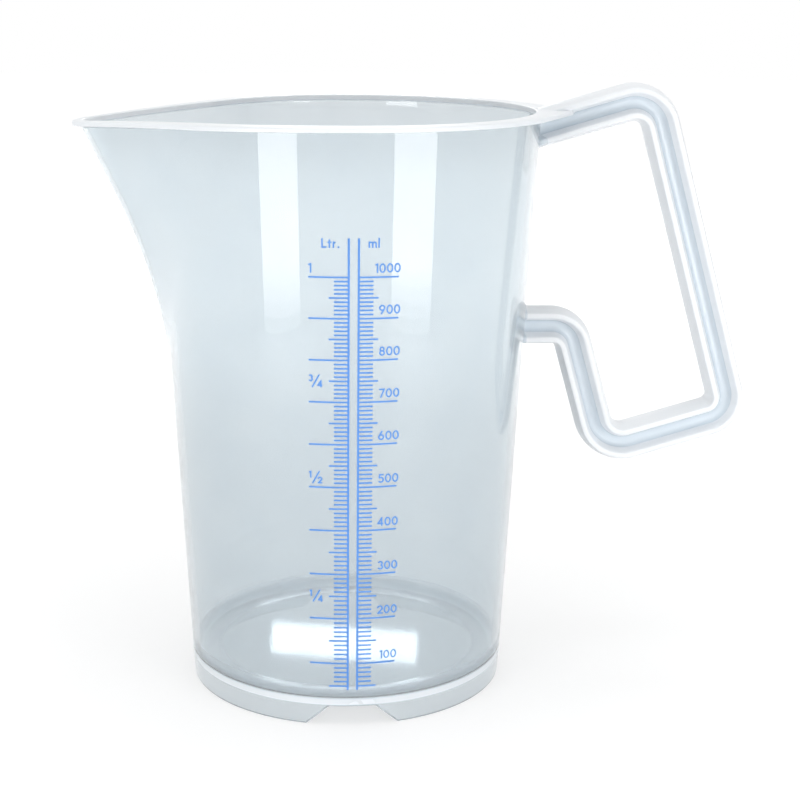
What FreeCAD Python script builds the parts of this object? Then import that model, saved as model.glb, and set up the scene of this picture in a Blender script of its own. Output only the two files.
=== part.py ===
import FreeCAD, Part

import math
import os

from FreeCAD import Vector

# A one-litre measuring jug, moulded in one shot and printed with a blue scale.
# Its sections are modelled as solids that meet face to face.
# Frame: +Z up from the table, the vessel's axis on Z, the spout at -X, the
# handle at +X and the printed scale facing -Y. Lengths are millimetres.

# Vessel
RIM_HEIGHT = 173.5
FOOT_RADIUS = 47.85
WALL_DRAFT_DEG = 2.966
WALL = 1.6

# Foot and floor
FLOOR_UNDERSIDE = 6.6
FLOOR_THICKNESS = 1.6
FLOOR_FILLET = 2.0
SKIRT_WALL = 1.6
NOTCH_BRIDGE = 0.5
NOTCH_WIDTH_AT_TABLE = 27.0
NOTCH_WIDTH_AT_TOP = 13.6
NOTCH_CORNER = 1.5

# Pouring spout
SPOUT_LEAN_DEG = 25.4
SPOUT_BEND_BELOW_RIM = 54.5
SPOUT_BEND_RADIUS = 160.0
SPOUT_TIP_RADIUS = 12.5
SPOUT_PANEL_MARGIN_DEG = 4.0
SPOUT_FIRST_STEP = 0.05
SPOUT_LEVELS = 10
RIM_DROP_AT_TIP = 3.6

# Rim lip
LIP_OVERHANG = 4.7
LIP_THICKNESS = 1.4
LIP_TIP_OVERHANG = 1.6
LIP_TIP_RADIUS = 15.0
GUSSET_OVERHANG = 4.5
GUSSET_WIDTH = 10.0

# Handle route, in the plane Y = 0
HANDLE_OUT_FROM_WALL = 33.75
HANDLE_RISE_OVER_RIM = 4.3
HANDLE_TILT_DEG = 16.1
GRIP_LENGTH = 100.3
HANDLE_FOOT_LENGTH = 41.5
RISER_LENGTH = 40.4
TOP_BEND = 3.0
GRIP_BEND = 1.5
RISER_BEND = 3.5
ROOT_BEND = 1.5
ROOT_RUN_IN = 22.0

# Handle section
HANDLE_DEPTH = 11.3
HANDLE_WIDTH = 12.0
FLANGE_TIP = 1.6
GROOVE_MOUTH = 5.8
GROOVE_BOTTOM = 2.8
WEB = 3.0

# Printed scale
INK = 0.1
SCALE_ZERO = 5.25
SCALE_FIRST_ML = 50
SPINE_GAP = 2.72
SPINE_LINE = 0.58
SPINE_OVER_FULL = 10.6
SPINE_UNDER_FIRST = 1.2
TICK_LINE = 0.46
TICK_10_ML = 3.95
TICK_50_ML = 5.35
TICK_100_ML = 10.8
NUMERAL_HEIGHT = 2.6
NUMERAL_LINE = 0.4
NUMERAL_LIFT = 1.15
NUMERAL_PAST_TICK = 0.5
FRACTION_FIGURE = 0.72
FRACTION_HEIGHT = 1.33
FRACTION_SLASH = 0.30
FRACTION_LOWER = 0.62
UNIT_LABEL_CLEAR = 2.5

ORIGIN = Vector(0, 0, 0)
UP = Vector(0, 0, 1)
BACK = Vector(0, 1, 0)
FLOOR_TOP = FLOOR_UNDERSIDE + FLOOR_THICKNESS
NOTCH_HEIGHT = FLOOR_UNDERSIDE - NOTCH_BRIDGE
ABOVE_ALL = 2 * RIM_HEIGHT
TAPER = math.tan(math.radians(WALL_DRAFT_DEG))
MM3_PER_ML = 1000.0
LITRE_ML = 1000
TICK_STEP_ML = 10
NUMERAL_STEP_ML = 100


def wall_radius(z, inset=0.0):
    """Radius of the outer wall at a height, less an inset."""
    return FOOT_RADIUS + TAPER * z - inset


def frustum(inset, low, high):
    """A slice of the tapered vessel, inset from its outer wall."""
    low_radius = wall_radius(low, inset)
    return Part.makeCone(low_radius, wall_radius(high, inset), high - low, Vector(0, 0, low))


def polygon_face(points):
    """A flat face from corner points in order."""
    return Part.Face(Part.makePolygon(points + [points[0]]))


def line(start, end):
    return Part.LineSegment(start, end).toShape()


def arc(start, middle, end):
    return Part.Arc(start, middle, end).toShape()


# Foot and floor

def notch_prism():
    """The tapered opening cut through the foot at the front and the back."""
    low = NOTCH_WIDTH_AT_TABLE / 2
    top = NOTCH_WIDTH_AT_TOP / 2
    reach = FOOT_RADIUS + LIP_OVERHANG
    corners = [Vector(-low, -reach, 0), Vector(-top, -reach, NOTCH_HEIGHT),
               Vector(top, -reach, NOTCH_HEIGHT), Vector(low, -reach, 0)]
    prism = polygon_face(corners).extrude(BACK * 2 * reach)
    upper = [edge for edge in prism.Edges
             if all(abs(vertex.Z - NOTCH_HEIGHT) < 1e-6 for vertex in edge.Vertexes)
             and abs(edge.Vertexes[0].Y - edge.Vertexes[1].Y) > reach]
    return prism.makeFillet(NOTCH_CORNER, upper)


def foot_ring():
    skirt = frustum(0, 0, FLOOR_UNDERSIDE).cut(frustum(SKIRT_WALL, 0, FLOOR_UNDERSIDE))
    return skirt.cut(notch_prism())


def floor_plate():
    return frustum(0, FLOOR_UNDERSIDE, FLOOR_TOP)


# Spout

def bend_height():
    return RIM_HEIGHT - SPOUT_BEND_BELOW_RIM


def spout_bend():
    """Centre and end heights of the arc from the wall's slope to the spout's."""
    wall_slope = math.radians(WALL_DRAFT_DEG)
    lean = math.radians(SPOUT_LEAN_DEG)
    tangent = SPOUT_BEND_RADIUS * math.tan((lean - wall_slope) / 2)
    low = bend_height() - tangent * math.cos(wall_slope)
    high = bend_height() + tangent * math.cos(lean)
    centre_out = wall_radius(low) + SPOUT_BEND_RADIUS * math.cos(wall_slope)
    centre_z = low - SPOUT_BEND_RADIUS * math.sin(wall_slope)
    return centre_out, centre_z, low, high


def spout_reach(z):
    """How far the ridge of the spout stands from the axis at a height."""
    centre_out, centre_z, low, high = spout_bend()
    if z >= high:
        lean = math.tan(math.radians(SPOUT_LEAN_DEG))
        return wall_radius(bend_height()) + (z - bend_height()) * lean
    return centre_out - math.sqrt(SPOUT_BEND_RADIUS ** 2 - (z - centre_z) ** 2)


def spout_start():
    """Height at which the ridge first stands clear of the round wall."""
    low = spout_bend()[2]
    return low + math.sqrt(2 * SPOUT_BEND_RADIUS * SPOUT_FIRST_STEP)


def tangent_angle(radius, tip_radius, reach):
    """Angle from -X at which a straight flank leaves a circle for the tip's arc."""
    return math.acos((radius - tip_radius) / (reach - tip_radius))


def around(radius, angle, z):
    """A point at an angle from -X, towards +Y."""
    return Vector(-radius * math.cos(angle), radius * math.sin(angle), z)


def teardrop_edges(radius, tip_radius, reach, end_angle, z):
    """A circle's arc, a flank, the tip, the other flank and the arc again."""
    leave = tangent_angle(radius, tip_radius, reach)
    tip_centre = Vector(tip_radius - reach, 0, z)
    edges = []
    tip_ends = []
    for side in (1, -1):
        round_end = around(radius, side * end_angle, z)
        round_middle = around(radius, side * (end_angle + leave) / 2, z)
        flank_root = around(radius, side * leave, z)
        flank_tip = tip_centre + around(tip_radius, side * leave, 0)
        tip_ends.append(flank_tip)
        if side == 1:
            edges += [arc(round_end, round_middle, flank_root), line(flank_root, flank_tip)]
        else:
            tail = [line(flank_tip, flank_root), arc(flank_root, round_middle, round_end)]
    edges.append(arc(tip_ends[0], Vector(-reach, 0, z), tip_ends[1]))
    return edges + tail


def spout_edges(z, inset, end_angle):
    reach = spout_reach(z) - inset
    return teardrop_edges(wall_radius(z, inset), SPOUT_TIP_RADIUS - inset, reach, end_angle, z)


def panel_angle():
    """Half the angle of wall that the spout takes up, at the rim."""
    leave = tangent_angle(wall_radius(RIM_HEIGHT), SPOUT_TIP_RADIUS, spout_reach(RIM_HEIGHT))
    return leave + math.radians(SPOUT_PANEL_MARGIN_DEG)


def spout_heights():
    low = spout_start()
    step = (RIM_HEIGHT - low) / (SPOUT_LEVELS - 1)
    return [low + step * level for level in range(SPOUT_LEVELS)]


def panel_section(z):
    """Outline of the spout's wall at a height, from one joint to the other."""
    angle = panel_angle()
    outer = spout_edges(z, 0, angle)
    inner = spout_edges(z, WALL, angle)
    joints = [line(around(wall_radius(z), -angle, z), around(wall_radius(z, WALL), -angle, z)),
              line(around(wall_radius(z, WALL), angle, z), around(wall_radius(z), angle, z))]
    return Part.Wire(Part.__sortEdges__(outer + [joints[0]] + inner + [joints[1]]))


def plug_section(z):
    """Outline of everything inside the spout's outer face, back to the axis."""
    angle = panel_angle()
    axis_point = Vector(0, 0, z)
    sides = [line(around(wall_radius(z), -angle, z), axis_point),
             line(axis_point, around(wall_radius(z), angle, z))]
    return Part.Wire(Part.__sortEdges__(spout_edges(z, 0, angle) + sides))


def panel_wedge(low, high):
    """A wedge from the axis that holds the spout's part of the wall."""
    angle = panel_angle()
    reach = 2 * spout_reach(RIM_HEIGHT)
    corners = [Vector(0, 0, low), around(reach, angle, low),
               Vector(-reach, 0, low), around(reach, -angle, low)]
    return polygon_face(corners).extrude(UP * (high - low))


def rim_surface_cutter(drop):
    """Everything above the rim's top face, lowered by drop. The face dips to the tip."""
    tip = lip_reach()
    radius = (tip ** 2 + RIM_DROP_AT_TIP ** 2) / (2 * RIM_DROP_AT_TIP)
    top = RIM_HEIGHT - drop
    reach = tip + LIP_OVERHANG
    ceiling = ABOVE_ALL

    def dip(out):
        return Vector(-out, -reach, top - radius + math.sqrt(radius ** 2 - out ** 2))

    front = [line(Vector(reach, -reach, top), dip(0)), arc(dip(0), dip(reach / 2), dip(reach)),
             line(dip(reach), Vector(-reach, -reach, ceiling)),
             line(Vector(-reach, -reach, ceiling), Vector(reach, -reach, ceiling)),
             line(Vector(reach, -reach, ceiling), Vector(reach, -reach, top))]
    return Part.Face(Part.Wire(front)).extrude(BACK * 2 * reach)


def pouring_spout():
    panel = Part.makeLoft([panel_section(z) for z in spout_heights()], True, False)
    return panel.cut(rim_surface_cutter(0))


# Vessel wall

def vessel_wall():
    """The round wall above the floor, with the fillet inside its foot."""
    slope = math.radians(WALL_DRAFT_DEG)
    inner_foot = wall_radius(FLOOR_TOP, WALL)
    tangent = FLOOR_FILLET * math.tan(math.radians(90 - WALL_DRAFT_DEG) / 2)
    floor_end = Vector(inner_foot - tangent, 0, FLOOR_TOP)
    wall_end = Vector(inner_foot + tangent * math.sin(slope), 0, FLOOR_TOP + tangent * math.cos(slope))
    centre = floor_end + UP * FLOOR_FILLET
    towards_corner = (Vector(inner_foot, 0, FLOOR_TOP) - centre).normalize()
    inner_top = Vector(wall_radius(RIM_HEIGHT, WALL), 0, RIM_HEIGHT)
    outer_top = Vector(wall_radius(RIM_HEIGHT), 0, RIM_HEIGHT)
    outer_foot = Vector(wall_radius(FLOOR_TOP), 0, FLOOR_TOP)
    profile = [arc(floor_end, centre + towards_corner * FLOOR_FILLET, wall_end), line(wall_end, inner_top),
               line(inner_top, outer_top), line(outer_top, outer_foot), line(outer_foot, floor_end)]
    wall = Part.Face(Part.Wire(profile)).revolve(ORIGIN, UP, 360)
    wall = wall.cut(panel_wedge(spout_start(), ABOVE_ALL))
    return wall.cut(rim_surface_cutter(0))


# Rim lip

def lip_radius():
    return wall_radius(RIM_HEIGHT) + LIP_OVERHANG


def lip_reach():
    return spout_reach(RIM_HEIGHT - RIM_DROP_AT_TIP) + LIP_TIP_OVERHANG


def lip_blank():
    """The lip's outline seen from above, as a tall prism through the rim."""
    low = spout_start()
    radius = lip_radius()
    teardrop = teardrop_edges(radius, LIP_TIP_RADIUS, lip_reach(), math.pi, low)
    outline = Part.Wire(Part.__sortEdges__(teardrop))
    reach = radius + GUSSET_OVERHANG
    half = GUSSET_WIDTH / 2
    span = math.hypot(reach, half)
    leave = math.atan2(half, reach) + math.acos(radius / span)
    touch_x = radius * math.cos(leave)
    touch_y = radius * math.sin(leave)
    gusset = [Vector(touch_x, touch_y, low), Vector(touch_x, -touch_y, low),
              Vector(reach, -half, low), Vector(reach, half, low)]
    height = UP * (ABOVE_ALL - low)
    return Part.Face(outline).extrude(height).fuse(polygon_face(gusset).extrude(height))


def rim_lip(handle):
    """The overhanging lip round the wall and the spout, open at the handle."""
    blank = lip_blank().cut(rim_surface_cutter(0)).common(rim_surface_cutter(LIP_THICKNESS))
    low = spout_start()
    blank = blank.cut(frustum(0, low, ABOVE_ALL).cut(panel_wedge(low, ABOVE_ALL)))
    blank = blank.cut(Part.makeLoft([plug_section(z) for z in spout_heights()], True, False))
    for section in handle:
        blank = blank.cut(section)
    return blank.removeSplitter()


# Handle

def handle_corners():
    """The corners of the handle's centre line, from the rim round to the wall."""
    tilt = math.radians(HANDLE_TILT_DEG)
    along = Vector(math.cos(tilt), 0, math.sin(tilt))
    down = Vector(math.sin(tilt), 0, -math.cos(tilt))
    out = wall_radius(RIM_HEIGHT) + HANDLE_OUT_FROM_WALL
    top = Vector(out, 0, RIM_HEIGHT + HANDLE_RISE_OVER_RIM)
    root = top - along * (HANDLE_OUT_FROM_WALL + ROOT_RUN_IN)
    heel = top + down * GRIP_LENGTH
    toe = heel - along * HANDLE_FOOT_LENGTH
    knee = toe - down * RISER_LENGTH
    lower_root = Vector(wall_radius(knee.z, ROOT_RUN_IN), 0, knee.z)
    return [root, top, heel, toe, knee, lower_root]


def outward(direction):
    """The side of the route that faces away from the hand's opening."""
    return Vector(-direction.z, 0, direction.x)


def placed(section, point, direction):
    """A section face with its U axis outward and its V axis along Y, at a point of the route."""
    side = outward(direction)
    matrix = FreeCAD.Matrix(side.x, 0, -direction.x, point.x,
                            0, 1, 0, point.y,
                            side.z, 0, -direction.z, point.z,
                            0, 0, 0, 1)
    face = section.copy()
    face.Placement = FreeCAD.Placement(matrix)
    return face


def swept(section):
    """The section carried along the handle: straight runs joined by tangent bends."""
    corners = handle_corners()
    bends = [radius + HANDLE_DEPTH / 2 for radius in (TOP_BEND, GRIP_BEND, RISER_BEND, ROOT_BEND)]
    pieces = []
    start = corners[0]
    for index, radius in enumerate(bends, 1):
        before = (corners[index] - corners[index - 1]).normalize()
        after = (corners[index + 1] - corners[index]).normalize()
        turn = math.atan2(before.z * after.x - before.x * after.z, before.dot(after))
        tangent = radius * math.tan(abs(turn) / 2)
        bend_start = corners[index] - before * tangent
        centre = bend_start - outward(before) * radius * math.copysign(1, turn)
        pieces.append(placed(section, start, before).extrude(bend_start - start))
        pieces.append(placed(section, bend_start, before).revolve(centre, BACK, math.degrees(turn)))
        start = corners[index] + after * tangent
    last = (corners[-1] - start).normalize()
    pieces.append(placed(section, start, last).extrude(corners[-1] - start))
    return pieces[0].fuse(pieces[1:]).removeSplitter()


def flange_section(side):
    """A flange's outline: crowned outside, rounded tips, sloped groove walls."""
    half = HANDLE_WIDTH / 2
    tip = FLANGE_TIP / 2
    mouth = GROOVE_MOUTH / 2
    edge = mouth + FLANGE_TIP
    bottom = GROOVE_BOTTOM / 2
    web = WEB / 2

    def at(u, v):
        return Vector(side * u, v, 0)

    outline = [line(at(bottom, -web), at(mouth, tip - half)),
               arc(at(mouth, tip - half), at(mouth + tip, -half), at(edge, tip - half)),
               arc(at(edge, tip - half), at(HANDLE_DEPTH / 2, 0), at(edge, half - tip)),
               arc(at(edge, half - tip), at(mouth + tip, half), at(mouth, half - tip)),
               line(at(mouth, half - tip), at(bottom, web)),
               line(at(bottom, web), at(bottom, -web))]
    return Part.Face(Part.Wire(outline))


def web_section():
    bottom = GROOVE_BOTTOM / 2
    web = WEB / 2
    return polygon_face([Vector(-bottom, -web, 0), Vector(bottom, -web, 0),
                         Vector(bottom, web, 0), Vector(-bottom, web, 0)])


def handle_piece(section):
    """A swept section, trimmed to the outer wall at both roots."""
    return swept(section).cut(frustum(0, 0, ABOVE_ALL))


# Printed scale

def volume_height(millilitres):
    """Height of a volume mark, counted from the scale's zero."""
    zero = wall_radius(SCALE_ZERO, WALL)
    radius = (zero ** 3 + 3 * TAPER * millilitres * MM3_PER_ML / math.pi) ** (1 / 3)
    return SCALE_ZERO + (radius - zero) / TAPER


def ink_film():
    """The thin layer over the front of the wall that holds every printed mark."""
    top = volume_height(LITRE_ML) + 2 * SPINE_OVER_FULL
    return frustum(-INK, SCALE_ZERO, top).cut(frustum(0, SCALE_ZERO, top))


def printed(film, marks):
    """Marks in the XZ plane, laid on the front of the wall as ink, one solid for each mark."""
    reach = BACK * -film.BoundBox.YMax
    solids = []
    for strokes in marks:
        prisms = [stroke.extrude(reach) for stroke in strokes]
        mark = prisms[0].fuse(prisms[1:]).removeSplitter() if len(prisms) > 1 else prisms[0]
        solids += mark.common(film).Solids
    return Part.makeCompound(solids)


def tick_length(millilitres):
    if millilitres % NUMERAL_STEP_ML == 0:
        return TICK_100_ML
    if millilitres % SCALE_FIRST_ML == 0:
        return TICK_50_ML
    return TICK_10_ML


def scale_comb(side):
    """One spine with its ticks, as a comb-shaped outline."""
    spine = SPINE_GAP / 2
    inner = side * (spine - SPINE_LINE / 2)
    outer = side * (spine + SPINE_LINE / 2)
    half = TICK_LINE / 2
    bottom = volume_height(SCALE_FIRST_ML) - SPINE_UNDER_FIRST
    top = volume_height(LITRE_ML) + SPINE_OVER_FULL
    points = [Vector(inner, 0, top), Vector(inner, 0, bottom), Vector(outer, 0, bottom)]
    for millilitres in range(SCALE_FIRST_ML, LITRE_ML + 1, TICK_STEP_ML):
        height = volume_height(millilitres)
        end = side * (spine + tick_length(millilitres))
        points += [Vector(outer, 0, height - half), Vector(end, 0, height - half),
                   Vector(end, 0, height + half), Vector(outer, 0, height + half)]
    points.append(Vector(outer, 0, top))
    return polygon_face(points)


# Each sign is its width and its strokes, in units of the numeral height:
# straight lines (x, z, x, z), arcs (x, z, radius, first angle, last angle)
# and ovals (x, z, half width, half height).
GLYPHS = {
    "0": (0.67, [("oval", 0.335, 0.50, 0.26, 0.42)]),
    "1": (0.32, [("line", 0.24, 0.08, 0.24, 0.92), ("line", 0.24, 0.92, 0.08, 0.86)]),
    "2": (0.62, [("arc", 0.31, 0.67, 0.25, -30, 180), ("line", 0.52, 0.54, 0.10, 0.08),
                 ("line", 0.10, 0.08, 0.56, 0.08)]),
    "3": (0.60, [("arc", 0.29, 0.72, 0.20, -80, 160), ("arc", 0.29, 0.31, 0.23, -160, 80)]),
    "4": (0.68, [("line", 0.48, 0.08, 0.48, 0.92), ("line", 0.48, 0.92, 0.08, 0.29),
                 ("line", 0.08, 0.29, 0.60, 0.29)]),
    "5": (0.62, [("line", 0.18, 0.92, 0.52, 0.92), ("line", 0.18, 0.92, 0.12, 0.58),
                 ("arc", 0.28, 0.34, 0.26, -145, 120)]),
    "6": (0.67, [("arc", 0.33, 0.33, 0.25, 0, 360), ("line", 0.11, 0.45, 0.40, 0.94)]),
    "7": (0.60, [("line", 0.08, 0.92, 0.54, 0.92), ("line", 0.54, 0.92, 0.20, 0.08)]),
    "8": (0.64, [("arc", 0.32, 0.72, 0.20, 0, 360), ("arc", 0.32, 0.31, 0.23, 0, 360)]),
    "9": (0.67, [("arc", 0.33, 0.67, 0.25, 0, 360), ("line", 0.55, 0.55, 0.26, 0.06)]),
    "/": (0.86, [("line", 0.10, 0.04, 0.76, 1.29)]),
    "L": (0.52, [("line", 0.08, 0.92, 0.08, 0.08), ("line", 0.08, 0.08, 0.46, 0.08)]),
    "t": (0.40, [("line", 0.20, 0.08, 0.20, 0.80), ("line", 0.08, 0.58, 0.34, 0.58)]),
    "r": (0.40, [("line", 0.10, 0.08, 0.10, 0.60), ("arc", 0.26, 0.40, 0.16, 70, 180)]),
    ".": (0.20, [("line", 0.08, 0.08, 0.12, 0.08)]),
    "m": (0.90, [("line", 0.10, 0.08, 0.10, 0.60), ("line", 0.45, 0.08, 0.45, 0.42),
                 ("line", 0.80, 0.08, 0.80, 0.42), ("arc", 0.275, 0.42, 0.175, 0, 180),
                 ("arc", 0.625, 0.42, 0.175, 0, 180)]),
    "l": (0.20, [("line", 0.10, 0.08, 0.10, 0.96)]),
}
GLYPH_GAP = 0.11


def line_stroke(width, x0, z0, x1, z1):
    """A straight stroke with square ends."""
    start = Vector(x0, 0, z0)
    end = Vector(x1, 0, z1)
    along = (end - start).normalize() * (width / 2)
    across = Vector(-along.z, 0, along.x)
    start -= along
    end += along
    return polygon_face([start - across, end - across, end + across, start + across])


def oval_stroke(width, x, z, half_width, half_height):
    """A closed ring with its long axis upright."""
    def disc(grow):
        crown = Vector(x, 0, z + half_height + grow)
        side = Vector(x + half_width + grow, 0, z)
        return Part.Face(Part.Wire(Part.Ellipse(crown, side, Vector(x, 0, z)).toShape()))

    return disc(width / 2).cut(disc(-width / 2)).Faces[0]


def arc_stroke(width, x, z, radius, first, last):
    """A round stroke: a ring, or part of one."""
    def at(distance, degrees):
        angle = math.radians(degrees)
        return Vector(x + distance * math.cos(angle), 0, z + distance * math.sin(angle))

    inner = radius - width / 2
    outer = radius + width / 2
    if last - first == 360:
        centre = Vector(x, 0, z)
        discs = [Part.Face(Part.Wire(Part.makeCircle(size, centre, BACK))) for size in (outer, inner)]
        return discs[0].cut(discs[1]).Faces[0]
    middle = (first + last) / 2
    outline = [arc(at(outer, first), at(outer, middle), at(outer, last)),
               line(at(outer, last), at(inner, last)),
               arc(at(inner, last), at(inner, middle), at(inner, first)),
               line(at(inner, first), at(outer, first))]
    return Part.Face(Part.Wire(outline))


def sign_strokes(sign, x, z, height):
    """The strokes of one sign, with its lower left corner at x, z."""
    strokes = []
    for kind, across, up, *values in GLYPHS[sign][1]:
        point = (x + across * height, z + up * height)
        if kind == "line":
            end = (x + values[0] * height, z + values[1] * height)
            strokes.append(line_stroke(NUMERAL_LINE, *point, *end))
        elif kind == "oval":
            strokes.append(oval_stroke(NUMERAL_LINE, *point, values[0] * height, values[1] * height))
        else:
            strokes.append(arc_stroke(NUMERAL_LINE, *point, values[0] * height, values[1], values[2]))
    return strokes


def text_width(text, height):
    advances = [GLYPHS[sign][0] for sign in text]
    return height * (sum(advances) + GLYPH_GAP * (len(text) - 1))


def text_marks(text, x, z, height):
    marks = []
    for sign in text:
        marks.append(sign_strokes(sign, x, z, height))
        x += height * (GLYPHS[sign][0] + GLYPH_GAP)
    return marks


def millilitre_numeral(millilitres):
    """A number above its line, right-aligned a little past the line's end."""
    text = str(millilitres)
    right = SPINE_GAP / 2 + TICK_100_ML + NUMERAL_PAST_TICK
    left = right - text_width(text, NUMERAL_HEIGHT)
    return text_marks(text, left, volume_height(millilitres) + NUMERAL_LIFT, NUMERAL_HEIGHT)


def litre_numeral():
    left = -SPINE_GAP / 2 - TICK_100_ML
    return text_marks("1", left, volume_height(LITRE_ML) + NUMERAL_LIFT, NUMERAL_HEIGHT)


def litre_fraction(upper, lower, baseline):
    """A fraction: small figures at the upper left and lower right of a tall slash."""
    size = NUMERAL_HEIGHT * FRACTION_FIGURE
    left = -SPINE_GAP / 2 - TICK_100_ML
    slash = left + FRACTION_SLASH * NUMERAL_HEIGHT
    right = slash + FRACTION_LOWER * NUMERAL_HEIGHT
    raised = baseline + FRACTION_HEIGHT * NUMERAL_HEIGHT - size
    return text_marks(upper, left, raised, size) + text_marks("/", slash, baseline, NUMERAL_HEIGHT) \
        + text_marks(lower, right, baseline, size)


def unit_label(text, left):
    height = volume_height(LITRE_ML) + SPINE_OVER_FULL - NUMERAL_HEIGHT
    return text_marks(text, left, height, NUMERAL_HEIGHT)


def scale_nodes():
    """The printed marks by node name."""
    marks = {"scale_litre_comb": [[scale_comb(-1)]], "scale_ml_comb": [[scale_comb(1)]]}
    for millilitres in range(NUMERAL_STEP_ML, LITRE_ML + 1, NUMERAL_STEP_ML):
        marks["numeral_%d_ml" % millilitres] = millilitre_numeral(millilitres)
    centred = -FRACTION_HEIGHT * NUMERAL_HEIGHT / 2
    quarter = volume_height(LITRE_ML / 4)
    half = volume_height(LITRE_ML / 2)
    three_quarter = volume_height(LITRE_ML * 3 / 4)
    marks["numeral_one_litre"] = litre_numeral()
    marks["numeral_three_quarter_litre"] = litre_fraction("3", "4", three_quarter + centred)
    marks["numeral_half_litre"] = litre_fraction("1", "2", half + NUMERAL_LIFT)
    marks["numeral_quarter_litre"] = litre_fraction("1", "4", quarter + centred)
    litre_left = -SPINE_GAP / 2 - UNIT_LABEL_CLEAR - text_width("Ltr.", NUMERAL_HEIGHT)
    marks["unit_label_litre"] = unit_label("Ltr.", litre_left)
    marks["unit_label_ml"] = unit_label("ml", SPINE_GAP / 2 + UNIT_LABEL_CLEAR)
    film = ink_film()
    return {name: printed(film, signs) for name, signs in marks.items()}


def moulded_nodes():
    """The sections of the moulding by node name."""
    handle = {"handle_outer_flange": handle_piece(flange_section(1)),
              "handle_inner_flange": handle_piece(flange_section(-1)),
              "handle_web": handle_piece(web_section())}
    nodes = {"foot_ring": foot_ring(),
             "floor_plate": floor_plate(),
             "vessel_wall": vessel_wall(),
             "pouring_spout": pouring_spout(),
             "rim_lip": rim_lip(handle.values())}
    nodes.update(handle)
    return nodes


def main():
    os.makedirs("parts", exist_ok=True)
    nodes = moulded_nodes()
    nodes.update(scale_nodes())
    for name, shape in nodes.items():
        state = "valid" if shape.isValid() else "INVALID"
        print(name, len(shape.Solids), "solids", round(shape.Volume, 2), "mm3", state)
        shape.exportStep("parts/%s.step" % name)


main()
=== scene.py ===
# %% [markdown]
# # A one-litre measuring jug
# The real jug is one injection moulding in natural polypropylene, printed with a blue
# volume scale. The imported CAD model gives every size. This lesson remodels the moulding as
# one smooth piece, because light that passes through clear plastic would show a face at
# each joint between separate solids. The printed marks stay as the CAD made them.

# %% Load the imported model
import bmesh
import bpy
import math
from mathutils import Matrix, Vector


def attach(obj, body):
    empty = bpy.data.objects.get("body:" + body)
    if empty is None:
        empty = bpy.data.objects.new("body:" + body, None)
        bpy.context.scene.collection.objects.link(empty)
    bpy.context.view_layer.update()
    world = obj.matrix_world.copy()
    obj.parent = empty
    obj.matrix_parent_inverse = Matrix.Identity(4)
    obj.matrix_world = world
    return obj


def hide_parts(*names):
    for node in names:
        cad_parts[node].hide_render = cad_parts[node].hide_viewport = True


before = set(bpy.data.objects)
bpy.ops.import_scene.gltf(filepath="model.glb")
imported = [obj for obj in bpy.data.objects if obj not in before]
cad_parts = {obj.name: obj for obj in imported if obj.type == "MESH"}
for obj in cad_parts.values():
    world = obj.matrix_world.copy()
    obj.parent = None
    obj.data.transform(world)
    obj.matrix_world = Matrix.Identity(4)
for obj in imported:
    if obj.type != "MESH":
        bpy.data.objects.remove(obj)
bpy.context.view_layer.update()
MM = 0.001

# %% [markdown]
# ## Working by hand, in code
# Operators act on whatever is selected, so each step first picks its vertices or edges by
# their place. The pick helper does that, and the outline helper draws a closed shape corner
# by corner, the way one extrudes a single point across the screen.

# %% Helpers for picking and drawing
TOUCH = 0.01 * MM


def pick(piece, test, kind="VERT"):
    """Selects the vertices or edges of a piece, in edit mode, whose points all pass a test."""
    bpy.ops.mesh.select_mode(type=kind)
    bpy.ops.mesh.select_all(action="DESELECT")
    shape = bmesh.from_edit_mesh(piece.data)
    parts = shape.verts if kind == "VERT" else shape.edges
    for part in parts:
        points = [part] if kind == "VERT" else part.verts
        part.select_set(all(test(point.co) for point in points))
    shape.select_flush_mode()
    bmesh.update_edit_mesh(piece.data)


def drawn_outline(name, corners):
    """A closed flat outline, drawn from one point by extruding it from corner to corner."""
    bpy.ops.object.select_all(action="DESELECT")
    bpy.ops.mesh.primitive_plane_add(size=MM)
    piece = bpy.context.object
    piece.name = name
    bpy.ops.object.mode_set(mode="EDIT")
    bpy.ops.mesh.select_mode(type="VERT")
    bpy.ops.mesh.select_all(action="SELECT")
    bpy.ops.mesh.merge(type="CENTER")
    bpy.ops.transform.translate(value=corners[0])
    for start, end in zip(corners, corners[1:]):
        bpy.ops.mesh.extrude_region_move(TRANSFORM_OT_translate={"value": end - start})
    bpy.ops.mesh.select_all(action="SELECT")
    bpy.ops.mesh.edge_face_add()
    return piece


def round_corner(piece, corner, offset, segments=5):
    """Bevels the one vertex of an outline that lies at a corner."""
    pick(piece, lambda point: (point - corner).length < TOUCH)
    bpy.ops.mesh.bevel(affect="VERTICES", offset=offset, segments=segments)


print("A corner is found to within", round(TOUCH / MM, 3), "mm")

# %% [markdown]
# ## The vessel's profile
# The vessel is round below the spout, so its wall, floor, foot and lip are one half section
# turned about the axis. The wall leans out by three degrees so that the moulding leaves its
# tool. Corners are rounded on the outline first, because a bevel there costs nothing and
# turns into a smooth round edge after the spin. Near the foot and the rim the profile also
# gets points where the plastic will change from clear to milky.

# %% Sizes of the vessel
RIM_HEIGHT = 173.5 * MM
FOOT_RADIUS = 47.85 * MM
TAPER = math.tan(math.radians(2.966))
WALL = 1.6 * MM
FLOOR_UNDERSIDE = 6.6 * MM
FLOOR_TOP = 8.2 * MM
LIP_OVERHANG = 4.7 * MM
LIP_THICKNESS = 1.4 * MM


def wall_radius(z, inset=0.0):
    """The radius of the wall's outer face at a height, or of a face inset from it."""
    return FOOT_RADIUS + TAPER * z - inset


LIP_RADIUS = wall_radius(RIM_HEIGHT) + LIP_OVERHANG
LIP_UNDERSIDE = RIM_HEIGHT - LIP_THICKNESS
print("Rim radius in mm:", round(wall_radius(RIM_HEIGHT) / MM, 2),
      "lip:", round(LIP_RADIUS / MM, 2))

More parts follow.
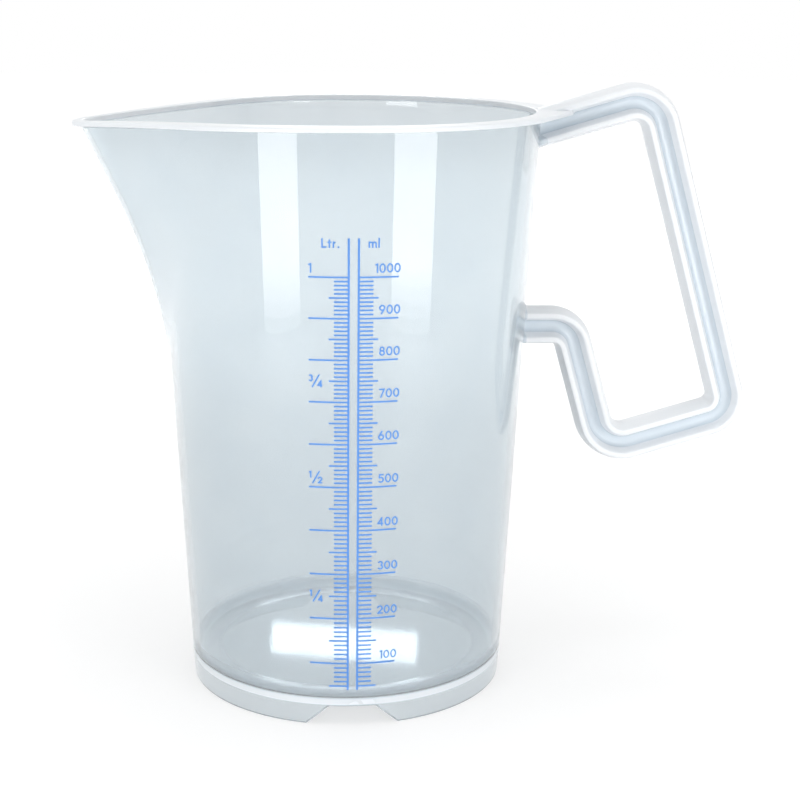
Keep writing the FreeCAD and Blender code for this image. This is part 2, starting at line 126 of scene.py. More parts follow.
# %% Draw and round the profile
BAND_LOW = 6.6 * MM
BAND_HIGH = 8.0 * MM
BAND_FADE_BELOW = 0.45 * MM
BAND_FADE_ABOVE = 0.9 * MM
LIP_FADE = 1.2 * MM
RIM_MILKY = 1.4 * MM
RIM_CLEAR = 2.0 * MM
ROUNDINGS_MM = {"skirt_top": 0.6, "foot_inner": 0.25, "foot_outer": 0.35, "lip_root": 0.5,
                "lip_lower": 0.35, "lip_upper": 0.55, "rim_inner": 0.4, "floor_corner": 1.9}


def wall_point(z, inset=0.0):
    """A point of the profile on the wall's outer face, or inset from it."""
    return wall_radius(z, inset), z


profile_points = {
    "floor_below": (0, FLOOR_UNDERSIDE),
    "skirt_top": wall_point(FLOOR_UNDERSIDE, WALL),
    "foot_inner": wall_point(0, WALL),
    "foot_outer": wall_point(0),
    "band_fade_low": wall_point(BAND_LOW - BAND_FADE_BELOW),
    "band_low": wall_point(BAND_LOW),
    "band_high": wall_point(BAND_HIGH),
    "band_fade_high": wall_point(BAND_HIGH + BAND_FADE_ABOVE),
    "lip_fade": wall_point(LIP_UNDERSIDE - LIP_FADE),
    "lip_root": wall_point(LIP_UNDERSIDE),
    "lip_lower": (LIP_RADIUS, LIP_UNDERSIDE),
    "lip_upper": (LIP_RADIUS, RIM_HEIGHT),
    "rim_inner": wall_point(RIM_HEIGHT, WALL),
    "rim_milky": wall_point(RIM_HEIGHT - RIM_MILKY, WALL),
    "rim_clear": wall_point(RIM_HEIGHT - RIM_CLEAR, WALL),
    "floor_corner": wall_point(FLOOR_TOP, WALL),
    "floor_above": (0, FLOOR_TOP),
}
profile = {name: Vector((radius, 0, z)) for name, (radius, z) in profile_points.items()}
jug = drawn_outline("jug_moulding", list(profile.values()))
for name, offset in ROUNDINGS_MM.items():
    round_corner(jug, profile[name], offset * MM)
print("Profile points:", len(bmesh.from_edit_mesh(jug.data).verts))

# %% [markdown]
# ## Turning the profile
# The long wall edges get extra points, so that the spout can be drawn out of them later. The
# face and the edge on the axis go before the spin, which otherwise makes a wall inside.

# %% Helpers for opening, dividing and closing a mesh
WELD = 0.0005 * MM


def drop_face():
    """Deletes the face of an outline in edit mode and leaves its edges."""
    bpy.ops.mesh.select_mode(type="FACE")
    bpy.ops.mesh.select_all(action="SELECT")
    bpy.ops.mesh.delete(type="ONLY_FACE")


def divide_edges(piece, test, cuts):
    """Adds points on the edges, in edit mode, whose run from end to end passes a test."""
    bpy.ops.mesh.select_mode(type="EDGE")
    bpy.ops.mesh.select_all(action="DESELECT")
    shape = bmesh.from_edit_mesh(piece.data)
    for edge in shape.edges:
        edge.select_set(test(edge.verts[1].co - edge.verts[0].co))
    bmesh.update_edit_mesh(piece.data)
    bpy.ops.mesh.subdivide(number_cuts=cuts)


def merge_seams():
    """Merges the points that a spin has left on top of each other."""
    bpy.ops.mesh.select_all(action="SELECT")
    bpy.ops.mesh.remove_doubles(threshold=WELD)


def face_outwards():
    """Turns all faces outwards and leaves edit mode."""
    bpy.ops.mesh.select_all(action="SELECT")
    bpy.ops.mesh.normals_make_consistent(inside=False)
    bpy.ops.object.mode_set(mode="OBJECT")


print("Seams are merged within", round(WELD / MM, 5), "mm")

# %% Spin the profile into a vessel
WALL_EDGE = 100 * MM
WALL_RINGS = 62
FLOOR_EDGE = 30 * MM
FLOOR_RINGS = 5
TURN_STEPS = 360
drop_face()
pick(jug, lambda point: abs(point.x) < TOUCH, "EDGE")
bpy.ops.mesh.delete(type="EDGE")
divide_edges(jug, lambda run: run.length > WALL_EDGE and abs(run.z) > abs(run.x), WALL_RINGS)
divide_edges(jug, lambda run: run.length > FLOOR_EDGE and abs(run.x) >= abs(run.z), FLOOR_RINGS)
bpy.ops.mesh.select_all(action="SELECT")
bpy.ops.mesh.spin(steps=TURN_STEPS, angle=2 * math.pi, center=(0, 0, 0), axis=(0, 0, 1))
merge_seams()
face_outwards()
print("Vessel vertices:", len(jug.data.vertices))

# %% [markdown]
# ## Drawing out the spout
# Seen from above, the spout is a teardrop: two straight flanks run from the round wall to a
# small rounded tip. Its ridge leaves the wall in a gentle bend and then leans out. No
# operator draws that, so each vertex moves outwards along its own radius, from the circle to
# the teardrop of its height. The rim dips a little towards the tip, which helps it to pour.
# On the other side the lip widens into two gussets that meet the handle.

# %% Spout ridge
SPOUT_LEAN = math.radians(25.4)
SPOUT_BEND_HEIGHT = RIM_HEIGHT - 54.5 * MM
SPOUT_BEND_RADIUS = 160 * MM
wall_slope = math.atan(TAPER)
bend_tangent = SPOUT_BEND_RADIUS * math.tan((SPOUT_LEAN - wall_slope) / 2)
bend_low = SPOUT_BEND_HEIGHT - bend_tangent * math.cos(wall_slope)
bend_high = SPOUT_BEND_HEIGHT + bend_tangent * math.cos(SPOUT_LEAN)
bend_centre_out = wall_radius(bend_low) + SPOUT_BEND_RADIUS * math.cos(wall_slope)
bend_centre_z = bend_low - SPOUT_BEND_RADIUS * math.sin(wall_slope)


def spout_reach(z):
    """How far the ridge stands from the axis at a height."""
    if z <= bend_low:
        return wall_radius(z)
    if z >= bend_high:
        return wall_radius(SPOUT_BEND_HEIGHT) + (z - SPOUT_BEND_HEIGHT) * math.tan(SPOUT_LEAN)
    return bend_centre_out - math.sqrt(SPOUT_BEND_RADIUS ** 2 - (z - bend_centre_z) ** 2)


print("The spout starts at a height in mm of", round(bend_low / MM, 1))

# %% Teardrop and gusset, seen from above
LEAST_SPOUT = 0.001 * MM
GUSSET_REACH = LIP_RADIUS + 4.5 * MM
GUSSET_HALF = 5 * MM


def teardrop(angle, radius, tip_radius, reach):
    """Distance from the axis to a teardrop outline, at an angle from the spout's side."""
    tip_out = reach - tip_radius
    if reach - radius < LEAST_SPOUT:
        return radius
    leave = math.acos((radius - tip_radius) / tip_out)
    if angle >= leave:
        return radius
    touch = math.atan2(tip_radius * math.sin(leave), tip_out + tip_radius * math.cos(leave))
    if angle >= touch:
        return radius / math.cos(leave - angle)
    side = tip_out * math.sin(angle)
    return tip_out * math.cos(angle) + math.sqrt(tip_radius ** 2 - side ** 2)


def gusset(angle, radius):
    """Distance to the lip's outline where it widens to meet the handle."""
    span = math.hypot(GUSSET_REACH, GUSSET_HALF)
    corner = math.atan2(GUSSET_HALF, GUSSET_REACH)
    leave = corner + math.acos(radius / span)
    if angle >= leave:
        return radius
    if angle >= corner:
        return radius / math.cos(leave - angle)
    return GUSSET_REACH / math.cos(angle)


print("The lip reaches the handle in mm at", round(GUSSET_REACH / MM, 2))

# %% Move the vertices of the spout and the lip
SPOUT_TIP_RADIUS = 12.5 * MM
LIP_TIP_RADIUS = 15 * MM
LIP_TIP_OVERHANG = 1.6 * MM
RIM_DROP_AT_TIP = 3.6 * MM
DROP_FADE_HEIGHT = 120 * MM
DROP_PASSES = 2
lip_reach = spout_reach(RIM_HEIGHT - RIM_DROP_AT_TIP) + LIP_TIP_OVERHANG
dip_radius = (lip_reach ** 2 + RIM_DROP_AT_TIP ** 2) / (2 * RIM_DROP_AT_TIP)


def rim_dip(x):
    """How far the rim has dropped at a distance towards the spout."""
    return dip_radius - math.sqrt(dip_radius ** 2 - min(x, 0) ** 2)


def drawn_out(point):
    """Where a point of the round vessel goes when its spout and lip are drawn out."""
    if point.z < bend_low:
        return point
    radius = math.hypot(point.x, point.y)
    from_spout = abs(math.atan2(point.y, -point.x))
    from_handle = math.pi - from_spout
    outside = radius - wall_radius(point.z)
    inset = max(-outside, 0)
    overhang = max(outside, 0) / LIP_OVERHANG
    fade = max(point.z - DROP_FADE_HEIGHT, 0) / (RIM_HEIGHT - DROP_FADE_HEIGHT)
    lip = teardrop(from_spout, LIP_RADIUS, LIP_TIP_RADIUS, lip_reach)
    lip += gusset(from_handle, LIP_RADIUS) - LIP_RADIUS
    z = point.z
    # A lower rim reaches less far out and so drops less, which a second pass settles
    for _ in range(DROP_PASSES):
        reach = spout_reach(z) - inset
        wall = teardrop(from_spout, wall_radius(z, inset), SPOUT_TIP_RADIUS - inset, reach)
        out = wall + overhang * (lip - wall) if overhang > 0 else wall
        x = point.x / radius * out
        z = point.z - fade * rim_dip(x)
    return Vector((x, point.y / radius * out, z))


for vertex in jug.data.vertices:
    vertex.co = drawn_out(vertex.co)
jug.data.update()
print("Lip tip in mm from the axis:", round(lip_reach / MM, 2),
      "as moved:", round(-min(vertex.co.x for vertex in jug.data.vertices) / MM, 2))

# %% [markdown]
# ## Notches in the foot
# Two trapezium notches, at the front and the back, let water out from under the floor. One
# long bar of that section, rounded at its top, cuts both at once.

# %% Cut the notches
NOTCH_HEIGHT = 6.1 * MM
NOTCH_HALF_TOP = 6.8 * MM
NOTCH_HALF_FOOT = 13.5 * MM
NOTCH_ROUND = 0.6 * MM
BAR_LENGTH = 120 * MM
BAR_BELOW = 2 * MM


def apply_boolean(piece, tool, operation):
    """Joins a tool shape to a piece, or cuts it away, and removes the tool."""
    modifier = piece.modifiers.new(operation.lower(), "BOOLEAN")
    modifier.operation = operation
    modifier.object = tool
    modifier.solver = "EXACT"
    bpy.ops.object.select_all(action="DESELECT")
    bpy.context.view_layer.objects.active = piece
    piece.select_set(True)
    bpy.ops.object.modifier_apply(modifier=modifier.name)
    bpy.data.objects.remove(tool)


notch_half = [(NOTCH_HALF_FOOT, -BAR_BELOW), (NOTCH_HALF_FOOT, 0), (NOTCH_HALF_TOP, NOTCH_HEIGHT)]
notch_whole = notch_half + [(-across, z) for across, z in reversed(notch_half)]
notch_corners = [Vector((across, -BAR_LENGTH / 2, z)) for across, z in notch_whole]
notch_bar = drawn_outline("notch_bar", notch_corners)
for corner in notch_corners[2:4]:
    round_corner(notch_bar, corner, NOTCH_ROUND)
bpy.ops.mesh.select_all(action="SELECT")
bpy.ops.mesh.extrude_region_move(TRANSFORM_OT_translate={"value": (0, BAR_LENGTH, 0)})
face_outwards()
apply_boolean(jug, notch_bar, "DIFFERENCE")
print("With its notches:", len(jug.data.polygons), "faces")

# %% [markdown]
# ## The handle
# The handle is an I-section: two crowned flanges and a web, with a groove on each side, which
# saves plastic and keeps the moulding from sinking. The section is drawn once as an outline
# and carried along the route, extruded on the straight runs and spun round each bend.

# %% Handle route
HANDLE_TILT = math.radians(16.1)
HANDLE_OUT_FROM_WALL = 33.75 * MM
HANDLE_RISE_OVER_RIM = 4.3 * MM
GRIP_LENGTH = 100.3 * MM
HANDLE_FOOT_LENGTH = 41.5 * MM
RISER_LENGTH = 40.4 * MM
TOP_ARM_LENGTH = 48 * MM
LOWER_ROOT_DEPTH = 12 * MM
INNER_BENDS = [3.0 * MM, 1.5 * MM, 3.5 * MM, 1.5 * MM]
along = Vector((math.cos(HANDLE_TILT), 0, math.sin(HANDLE_TILT)))
down = Vector((math.sin(HANDLE_TILT), 0, -math.cos(HANDLE_TILT)))
top = Vector((wall_radius(RIM_HEIGHT) + HANDLE_OUT_FROM_WALL, 0, RIM_HEIGHT + HANDLE_RISE_OVER_RIM))
heel = top + down * GRIP_LENGTH
toe = heel - along * HANDLE_FOOT_LENGTH
knee = toe - down * RISER_LENGTH
root = top - along * TOP_ARM_LENGTH
lower_root = Vector((wall_radius(knee.z) - LOWER_ROOT_DEPTH, 0, knee.z))
route = [root, top, heel, toe, knee, lower_root]
print("Handle corners in mm:", [(round(p.x / MM, 1), round(p.z / MM, 1)) for p in route])

# %% Handle section
HANDLE_DEPTH = 11.3 * MM
HANDLE_HALF_WIDTH = 6.0 * MM
FLANGE_EDGE = 4.5 * MM
FLANGE_INNER = 2.9 * MM
GROOVE_HALF = 1.4 * MM
WEB_HALF = 1.5 * MM
TIP_ROUND = 0.4 * MM
GROOVE_ROUND = 0.9 * MM
ROUND_STEPS = 4


def side_of(direction):
    """The direction, in the handle's plane, that lies square to its route."""
    return Vector((-direction.z, 0, direction.x))


section_side = side_of((top - root).normalized())
quarter = [(FLANGE_EDGE, HANDLE_HALF_WIDTH), (FLANGE_INNER, HANDLE_HALF_WIDTH),
           (GROOVE_HALF, WEB_HALF)]
half = quarter + [(-out, across) for out, across in reversed(quarter)]
whole = half + [(out, -across) for out, across in reversed(half)]
section_corners = [root + section_side * out + Vector((0, across, 0)) for out, across in whole]
handle = drawn_outline("handle", section_corners)
for corner in section_corners:
    in_groove = abs(corner.y) < 2 * WEB_HALF
    round_corner(handle, corner, GROOVE_ROUND if in_groove else TIP_ROUND, ROUND_STEPS)
drop_face()
print("Section points:", len(bmesh.from_edit_mesh(handle.data).verts))

# %% Crown the flanges
CROWN = HANDLE_DEPTH / 2 - FLANGE_EDGE
CROWN_CUTS = 9
GROOVE_SIDE = 2 * MM
SIDE_CUTS = 4


def from_middle(point):
    """How far a point of the section lies from its middle, along its depth."""
    return (point - root).dot(section_side)


def on_flange_edge(point):
    return abs(abs(from_middle(point)) - FLANGE_EDGE) < TOUCH


pick(handle, on_flange_edge, "EDGE")
bpy.ops.mesh.subdivide(number_cuts=CROWN_CUTS)
divide_edges(handle, lambda run: abs(run.y) > GROOVE_SIDE, SIDE_CUTS)
section = bmesh.from_edit_mesh(handle.data)
flat_half = HANDLE_HALF_WIDTH - TIP_ROUND
for vertex in section.verts:
    if on_flange_edge(vertex.co):
        rise = CROWN * (1 - (vertex.co.y / flat_half) ** 2)
        vertex.co += section_side * math.copysign(rise, from_middle(vertex.co))
bmesh.update_edit_mesh(handle.data)
print("Section points with the crowns:", len(section.verts))

# %% Carry the section along the route
BEND_STEPS = 14
RUN_STEPS = 8


def extrude_run(run):
    """Carries the section along a straight run, in short steps that can hold paint."""
    for _ in range(RUN_STEPS):
        bpy.ops.mesh.extrude_region_move(TRANSFORM_OT_translate={"value": run / RUN_STEPS})


bpy.ops.mesh.select_mode(type="EDGE")
bpy.ops.mesh.select_all(action="SELECT")
run_start = root
for index, inner in enumerate(INNER_BENDS, 1):
    before = (route[index] - route[index - 1]).normalized()
    after = (route[index + 1] - route[index]).normalized()
    bend_radius = inner + HANDLE_DEPTH / 2
    turn = math.atan2(before.z * after.x - before.x * after.z, before.dot(after))
    tangent = bend_radius * math.tan(abs(turn) / 2)
    bend_start = route[index] - before * tangent
    centre = bend_start - side_of(before) * math.copysign(bend_radius, turn)
    extrude_run(bend_start - run_start)
    bpy.ops.mesh.spin(steps=BEND_STEPS, angle=-turn, center=centre, axis=(0, 1, 0))
    run_start = route[index] + after * tangent
extrude_run(route[-1] - run_start)
merge_seams()
bpy.ops.mesh.select_mode(type="EDGE")
bpy.ops.mesh.select_all(action="DESELECT")
bpy.ops.mesh.select_non_manifold()
bpy.ops.mesh.fill_holes(sides=0)
face_outwards()
print("Handle faces:", len(handle.data.polygons), "reach in mm:",
      round(max(vertex.co.x for vertex in handle.data.vertices) / MM, 1))

# %% [markdown]
# ## One moulding
# A cone that ends halfway through the wall trims both roots of the handle, so that they end
# inside the plastic. The union then removes every face inside, and leaves one closed skin.

# %% Trim the roots and join the handle to the vessel
TRIM_HEIGHT = 2 * RIM_HEIGHT
SMOOTH_UNDER = math.radians(32)
bpy.ops.object.select_all(action="DESELECT")
bpy.ops.mesh.primitive_cone_add(vertices=TURN_STEPS, radius1=wall_radius(0, WALL / 2),
                                radius2=wall_radius(TRIM_HEIGHT, WALL / 2), depth=TRIM_HEIGHT,
                                location=(0, 0, TRIM_HEIGHT / 2))
trim = bpy.context.object
apply_boolean(handle, trim, "DIFFERENCE")
apply_boolean(jug, handle, "UNION")
bpy.ops.object.shade_smooth_by_angle(angle=SMOOTH_UNDER)
closed_skin = bmesh.new()
closed_skin.from_mesh(jug.data)
open_edges = sum(not edge.is_manifold for edge in closed_skin.edges)
closed_skin.free()
print("Moulding faces:", len(jug.data.polygons), "open edges:", open_edges)

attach(jug, "root")
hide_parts("foot_ring", "floor_plate", "vessel_wall", "pouring_spout", "rim_lip",
            "handle_outer_flange", "handle_inner_flange", "handle_web")

# %% [markdown]
# ## Where the plastic is thick
# Natural polypropylene is milky: light scatters a little in every millimetre of it. A thin
# wall is hazy, and a deep piece such as a flange, the lip or the edge of the floor turns
# white. An attribute on the vertices stores this, so one material can show all of it.

# %% Sizes of the milky places
RIM_MILK = 0.95
RIM_MILK_DEPTH = 1.6 * MM
GUSSET_MARGIN = 0.3 * MM
FLANGE_MILK = 1.0
WEB_MILK = 0.5
WEB_FACING = 0.28
WEB_REACH = 2.9 * MM
HANDLE_MARGIN = 0.4 * MM
BAND_MILK = 0.8
BAND_MIDDLE = 7 * MM
OUTER_MARGIN = 0.3 * MM
FILLET_MILK = 0.6
FILLET_RADII = (44.9 * MM, 60 * MM, 0.3 * MM)
FILLET_HEIGHTS = (8 * MM, 10.1 * MM, 0.4 * MM)
ROOT_MILK = 0.7
ROOT_SIDES = (0, 4 * MM, 3.5 * MM)
LOWER_ROOT_HEIGHTS = (104 * MM, 113 * MM, 3.5 * MM)
UPPER_ROOT_HEIGHTS = (158 * MM, 170 * MM, 3 * MM)


def within(value, low, high, fade):
    """One between two limits, falling to nothing over a fade outside them."""
    return max(0.0, min(1.0, 1 + (value - low) / fade, 1 + (high - value) / fade))


print("Milkiness of the rim:", RIM_MILK, "flanges:", FLANGE_MILK, "web:", WEB_MILK)

# %% Paint the milkiness onto the vertices
def milkiness(point, normal):
    """How white the plastic looks at a point: nothing on the wall, one where it is deep."""
    radius = math.hypot(point.x, point.y)
    below_rim = RIM_HEIGHT - rim_dip(point.x) - point.z
    beyond_gusset = point.x > 0 and radius > GUSSET_REACH + GUSSET_MARGIN
    if below_rim < RIM_MILK_DEPTH and not beyond_gusset:
        return RIM_MILK
    if point.x > 0 and radius > wall_radius(point.z) + HANDLE_MARGIN:
        on_web = abs(normal.y) > WEB_FACING and abs(point.y) < WEB_REACH
        return WEB_MILK if on_web else FLANGE_MILK
    if radius > wall_radius(point.z) - OUTER_MARGIN:
        fade = BAND_FADE_BELOW if point.z < BAND_MIDDLE else BAND_FADE_ABOVE
        band = within(point.z, BAND_LOW, BAND_HIGH, fade)
    else:
        band = FILLET_MILK * within(radius, *FILLET_RADII) * within(point.z, *FILLET_HEIGHTS)
    beside = within(abs(point.y), *ROOT_SIDES) if point.x > 0 else 0.0
    roots = max(within(point.z, *LOWER_ROOT_HEIGHTS), within(point.z, *UPPER_ROOT_HEIGHTS))
    return max(BAND_MILK * band, ROOT_MILK * beside * roots)


milk_values = [milkiness(vertex.co, vertex.normal) for vertex in jug.data.vertices]
jug.data.attributes.new("milk", "FLOAT", "POINT").data.foreach_set("value", milk_values)
print("Milky vertices:", sum(value > WEB_MILK for value in milk_values))

# %% [markdown]
# ## Two finishes
# The moulding is one Principled shader. Its transmission lets the wall be seen through, its
# base colour is the faint blue grey of the plastic, and the milkiness turns the first down
# and the second white. The scale is screen printed in blue ink, a thin matt film.

# %% Helpers for materials
# A colour Mix node shares its socket names with the number sockets, so it goes by index
MIX_A = 6
MIX_B = 7
MIX_RESULT = 2


def linear(colour):
    """An sRGB hex colour as linear red, green, blue and alpha."""
    parts = [int(colour[i:i + 2], 16) / 255 for i in (1, 3, 5)]
    return [p / 12.92 if p <= 0.04045 else ((p + 0.055) / 1.055) ** 2.4 for p in parts] + [1.0]


def add_node(tree, kind, settings=None, links=None):
    """Adds a node, sets its properties or sockets, and links its inputs."""
    node = tree.nodes.new(kind)
    for key, value in (settings or {}).items():
        if isinstance(key, int) or key in node.inputs:
            node.inputs[key].default_value = value
        else:
            setattr(node, key, value)
    for key, socket in (links or {}).items():
        tree.links.new(socket, node.inputs[key])
    return node


def new_material(name):
    """An empty node material and its tree."""
    material = bpy.data.materials.new(name)
    material.use_nodes = True
    material.node_tree.nodes.clear()
    return material, material.node_tree


print("Middle grey in linear light:", round(linear("#808080")[0], 3))

# %% Polypropylene
# Moulded in a polished tool: a sharp gloss and a hazy blue grey where the plastic is thin,
# a satin white where it is deep. The haze itself is finer than a pixel, so its faint clouds
# are drawn as coarse as they need to show.
CLOUD_MM = 14.0
CLEAR_WALL = 0.8
CLEAR_THICK = 0.1
MILK_OF_THICK = 0.5
GLOSS_LOW = 0.02
GLOSS_HIGH = 0.04
SATIN_THICK = 0.3
polypropylene, tree = new_material("natural polypropylene, moulded")
jug_place = add_node(tree, "ShaderNodeTexCoord")
clouds = add_node(tree, "ShaderNodeTexNoise", {"Scale": 1 / (CLOUD_MM * MM), "Detail": 2.0},
                  {"Vector": jug_place.outputs["Object"]})
milk = add_node(tree, "ShaderNodeAttribute", {"attribute_name": "milk"})
tone = add_node(tree, "ShaderNodeValToRGB", None, {"Fac": milk.outputs["Fac"]})
tone.color_ramp.elements[0].color = linear("#edf3f6")
tone.color_ramp.elements[1].color = linear("#f7f9fb")
tone.color_ramp.elements.new(MILK_OF_THICK).color = linear("#dfe8ef")
cloudy = add_node(tree, "ShaderNodeMix",
                  {"data_type": "RGBA", "blend_type": "MULTIPLY", MIX_B: linear("#f6f8fa")},
                  {"Factor": clouds.outputs["Fac"], MIX_A: tone.outputs["Color"]})
clear = add_node(tree, "ShaderNodeMapRange",
                 {"From Max": MILK_OF_THICK, "To Min": CLEAR_WALL, "To Max": CLEAR_THICK},
                 {"Value": milk.outputs["Fac"]})
gloss = add_node(tree, "ShaderNodeMapRange", {"To Min": GLOSS_LOW, "To Max": GLOSS_HIGH},
                 {"Value": clouds.outputs["Fac"]})
satin = add_node(tree, "ShaderNodeMath", {"operation": "MULTIPLY_ADD", 1: SATIN_THICK},
                 {0: milk.outputs["Fac"], 2: gloss.outputs["Result"]})
plastic = add_node(tree, "ShaderNodeBsdfPrincipled", {"IOR": 1.49},
                   {"Base Color": cloudy.outputs[MIX_RESULT], "Roughness": satin.outputs[0],
                    "Transmission Weight": clear.outputs["Result"]})
add_node(tree, "ShaderNodeOutputMaterial", None, {"Surface": plastic.outputs["BSDF"]})
jug.data.materials.clear()
jug.data.materials.append(polypropylene)
print("Plastic nodes:", len(tree.nodes), "clouds in mm:", CLOUD_MM)

# %% Ink
# Screen printed: an even, matt blue film that hides the plastic behind it. Its pigment is
# too fine to show, so its slight unevenness is drawn as coarse as the stroke is wide.
GRAIN_MM = 0.8
ink, tree = new_material("screen printing ink, blue")
mark_place = add_node(tree, "ShaderNodeTexCoord")
grain = add_node(tree, "ShaderNodeTexNoise", {"Scale": 1 / (GRAIN_MM * MM), "Detail": 3.0},
                 {"Vector": mark_place.outputs["Object"]})
blue = add_node(tree, "ShaderNodeMix",
                {"data_type": "RGBA", MIX_A: linear("#4d87d6"), MIX_B: linear("#6095dc")},
                {"Factor": grain.outputs["Fac"]})
film = add_node(tree, "ShaderNodeBsdfPrincipled", {"Roughness": 0.55, "IOR": 1.5},
                {"Base Color": blue.outputs[MIX_RESULT]})
add_node(tree, "ShaderNodeOutputMaterial", None, {"Surface": film.outputs["BSDF"]})
printed = [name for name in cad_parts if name.startswith(("scale_", "numeral_", "unit_"))]
for name in printed:
    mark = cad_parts[name]
    mark.data.materials.clear()
    mark.data.materials.append(ink)
print("Printed marks:", len(printed))

# %% [markdown]
# ## Floor and world
# The jug stands on a white sweep. The floor and the world show white to the camera, to
# reflections and through the plastic, and light the jug at a plain level otherwise. The
# floor's white is part glow and part lit paper. The lit part keeps the jug's shadow, and the
# glow adds a painted shadow: it is weaker under and near the foot than further out.

# %% Floor
FLOOR_RADIUS = 3.0
FLOOR_SIDES = 96
# Glow strength by distance from the axis, in metres: the low levels under and near the foot paint a
# shadow there
GLOW_WITH_PAINTED_SHADOW = {0.044: 0.56, 0.2: 0.58, 0.3: 0.66, 0.42: 0.86, 0.6: 1.0, 1.2: 1.0, 1.6: 0.74}
GLOW_REACH = max(GLOW_WITH_PAINTED_SHADOW)


def seen_directly(tree):
    """One for camera, glossy and transmission rays, which see the white background."""
    path = add_node(tree, "ShaderNodeLightPath")
    first = add_node(tree, "ShaderNodeMath", {"operation": "MAXIMUM"},
                     {0: path.outputs["Is Camera Ray"], 1: path.outputs["Is Glossy Ray"]})
    both = add_node(tree, "ShaderNodeMath", {"operation": "MAXIMUM"},
                    {0: first.outputs[0], 1: path.outputs["Is Transmission Ray"]})
    return both.outputs[0]


bpy.ops.object.select_all(action="DESELECT")
bpy.ops.mesh.primitive_circle_add(vertices=FLOOR_SIDES, radius=FLOOR_RADIUS, fill_type="NGON")
floor = bpy.context.object
floor.name = "studio_floor"
# Matt paper gives a white without gloss, so the jug is not mirrored in it
paper, tree = new_material("white paper sweep")
floor_place = add_node(tree, "ShaderNodeTexCoord")
away = add_node(tree, "ShaderNodeVectorMath", {"operation": "LENGTH"},
                {0: floor_place.outputs["Object"]})
share = add_node(tree, "ShaderNodeMapRange", {"From Max": GLOW_REACH},
                 {"Value": away.outputs["Value"]})
# Painted shadow: the glow is weaker under and near the foot
glow_level_with_painted_shadow = add_node(tree, "ShaderNodeValToRGB", None, {"Fac": share.outputs["Result"]})
stops = glow_level_with_painted_shadow.color_ramp.elements
for number, (distance, level) in enumerate(GLOW_WITH_PAINTED_SHADOW.items()):
    stop = stops[number] if number < 2 else stops.new(1.0)
    stop.position = distance / GLOW_REACH
    stop.color = (level, level, level, 1)
bounce = add_node(tree, "ShaderNodeBsdfDiffuse", {"Color": linear("#ececec")})
lit = add_node(tree, "ShaderNodeBsdfDiffuse", {"Color": linear("#b8b8b8")})
glow = add_node(tree, "ShaderNodeEmission", {"Color": linear("#ffffff")},
                {"Strength": glow_level_with_painted_shadow.outputs["Color"]})
white = add_node(tree, "ShaderNodeAddShader", None, {0: lit.outputs[0], 1: glow.outputs[0]})
sweep = add_node(tree, "ShaderNodeMixShader", None,
                 {0: seen_directly(tree), 1: bounce.outputs[0], 2: white.outputs[0]})
add_node(tree, "ShaderNodeOutputMaterial", None, {"Surface": sweep.outputs[0]})
floor.data.materials.append(paper)
print("Floor radius in m:", FLOOR_RADIUS, "glow from", min(GLOW_WITH_PAINTED_SHADOW.values()), "to", max(GLOW_WITH_PAINTED_SHADOW.values()))

# %% World
WORLD_LIGHT = 0.58
world = bpy.data.worlds.new("studio")
bpy.context.scene.world = world
world.use_nodes = True
tree = world.node_tree
tree.nodes.clear()
brightness = add_node(tree, "ShaderNodeMapRange", {"To Min": WORLD_LIGHT, "To Max": 1.0},
                      {"Value": seen_directly(tree)})
sky = add_node(tree, "ShaderNodeBackground", {"Color": linear("#ffffff")},
               {"Strength": brightness.outputs["Result"]})
add_node(tree, "ShaderNodeOutputWorld", None, {"Surface": sky.outputs[0]})
print("World light on the jug:", WORLD_LIGHT)

# %% [markdown]
# ## Lights
# Two tall softboxes stand close to the jug, left and right of the camera, and give the two
# pale stripes on its front. Each is a stack of lamps that grow weaker towards the table, so
# that the stripes fade out downwards. A small card behind gives the white patch on the floor
# inside, and a large weak lamp overhead lights the lip and the handle from above. Only the
# card shows through the plastic: from behind, the softboxes would be bright rectangles in it.

# %% Softboxes
STRIP_ENDS = {"left": ((-0.330, -0.268), (-0.206, -0.376)),
              "right": ((0.315, -0.285), (0.172, -0.394))}
STRIP_TOP = 0.185
STRIP_BRIGHTNESS = 5.5
STRIP_SHARES = {0.0: 0.2, 0.008: 0.4, 0.016: 0.6, 0.024: 0.8, 0.032: 1.0}


def softbox(name, place, aim, width, height, radiance, roll=0.0, seen_through=False):
    """A rectangular light at a place, facing a point, with a brightness of its face."""
    light = bpy.data.lights.new(name, "AREA")
    light.shape = "RECTANGLE"
    light.size = width
    light.size_y = height
    light.energy = radiance * math.pi * width * height
    box = bpy.data.objects.new(name, light)
    bpy.context.scene.collection.objects.link(box)
    direction = Vector(aim) - Vector(place)
    facing = direction.to_track_quat("-Z", "Y").to_matrix().to_4x4()
    box.matrix_world = Matrix.Translation(place) @ facing @ Matrix.Rotation(roll, 4, "Z")
    box.visible_transmission = seen_through


def strip(name, end_one, end_two, low, high, radiance):
    """An upright softbox between two points of the table, facing the jug."""
    middle = (Vector(end_one) + Vector(end_two)) / 2
    run = Vector(end_two) - Vector(end_one)
    inward = Vector((run.y, -run.x))
    if inward.dot(middle) > 0:
        inward = -inward
    place = middle.to_3d() + Vector((0, 0, (low + high) / 2))
    softbox(name, place, place + inward.to_3d(), run.length, high - low, radiance)


strip_highs = list(STRIP_SHARES)[1:] + [STRIP_TOP]
for side, (end_one, end_two) in STRIP_ENDS.items():
    for (low, part), high in zip(STRIP_SHARES.items(), strip_highs):
        lamp_name = "softbox_%s_%d" % (side, low / MM)
        strip(lamp_name, end_one, end_two, low, high, part * STRIP_BRIGHTNESS)
print("Lamps in each strip:", len(STRIP_SHARES), "brightness:", STRIP_BRIGHTNESS)

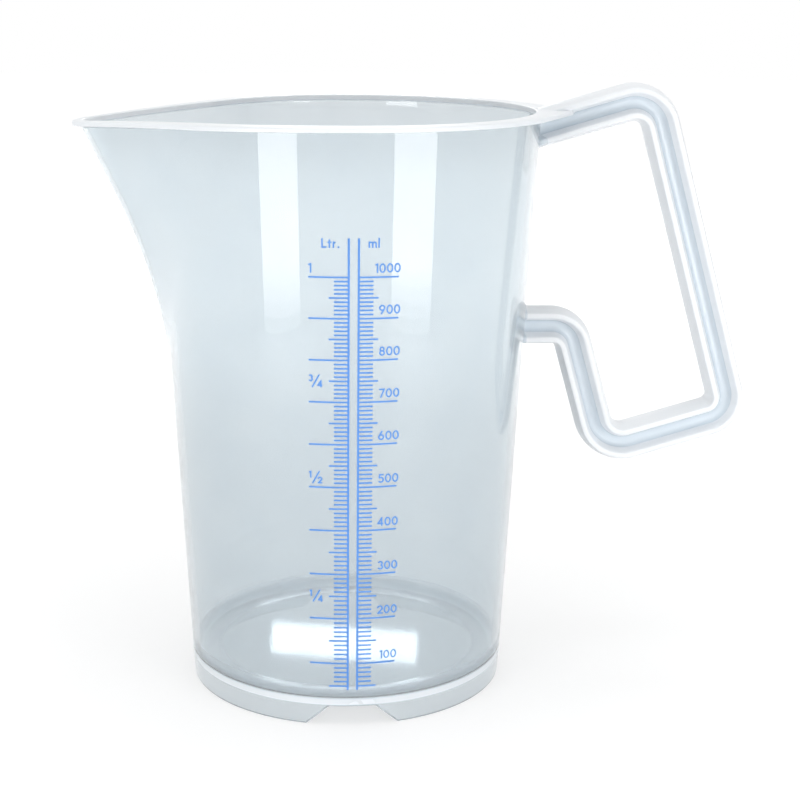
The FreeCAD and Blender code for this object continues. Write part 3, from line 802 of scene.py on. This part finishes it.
# %% Card behind and lamp overhead
CARD_PLACE = (0.030, 1.0, 0.425)
CARD_AIM = (0.0, 0.0, 0.008)
CARD_SIZE = (0.168, 0.029)
CARD_BRIGHTNESS = 20.0
CARD_ROLL = math.radians(-4)
OVERHEAD_PLACE = (0.0, 0.0, 1.2)
OVERHEAD_SIZE = (1.0, 1.0)
OVERHEAD_BRIGHTNESS = 1.8
softbox("back_card", CARD_PLACE, CARD_AIM, *CARD_SIZE, CARD_BRIGHTNESS, CARD_ROLL, True)
softbox("overhead", OVERHEAD_PLACE, (0.0, 0.0, 0.0), *OVERHEAD_SIZE, OVERHEAD_BRIGHTNESS)
print("Card brightness:", CARD_BRIGHTNESS, "overhead:", OVERHEAD_BRIGHTNESS)

# %% [markdown]
# ## Camera
# The camera stands where the photograph was taken: a little above the rim, looking down by
# 14 degrees, with a long lens so that the upright lines stay nearly parallel. The Standard
# view shows each colour as it is written.

# %% Camera and view
CAMERA_PLACE = Vector((-0.01675, -0.50184, 0.21418))
CAMERA_FORWARD = Vector((0.0636, 0.9666, -0.2484)).normalized()
CAMERA_ROLL = math.radians(0.489)
SENSOR_MM = 36
LENS_MM = 76.28
NEAREST_SEEN = 0.01
camera_data = bpy.data.cameras.new("camera")
camera_data.sensor_width = SENSOR_MM
camera_data.lens = LENS_MM
camera_data.clip_start = NEAREST_SEEN
camera = bpy.data.objects.new("camera", camera_data)
bpy.context.scene.collection.objects.link(camera)
right = CAMERA_FORWARD.cross(Vector((0, 0, 1))).normalized()
upward = right.cross(CAMERA_FORWARD)
turned_right = math.cos(CAMERA_ROLL) * right + math.sin(CAMERA_ROLL) * upward
turned_up = -math.sin(CAMERA_ROLL) * right + math.cos(CAMERA_ROLL) * upward
camera_axes = Matrix((turned_right, turned_up, -CAMERA_FORWARD)).transposed()
camera.matrix_world = Matrix.Translation(CAMERA_PLACE) @ camera_axes.to_4x4()
bpy.context.scene.camera = camera
bpy.context.scene.view_settings.view_transform = "Standard"
print("Camera from the jug's axis in mm:", round(CAMERA_PLACE.xy.length / MM))
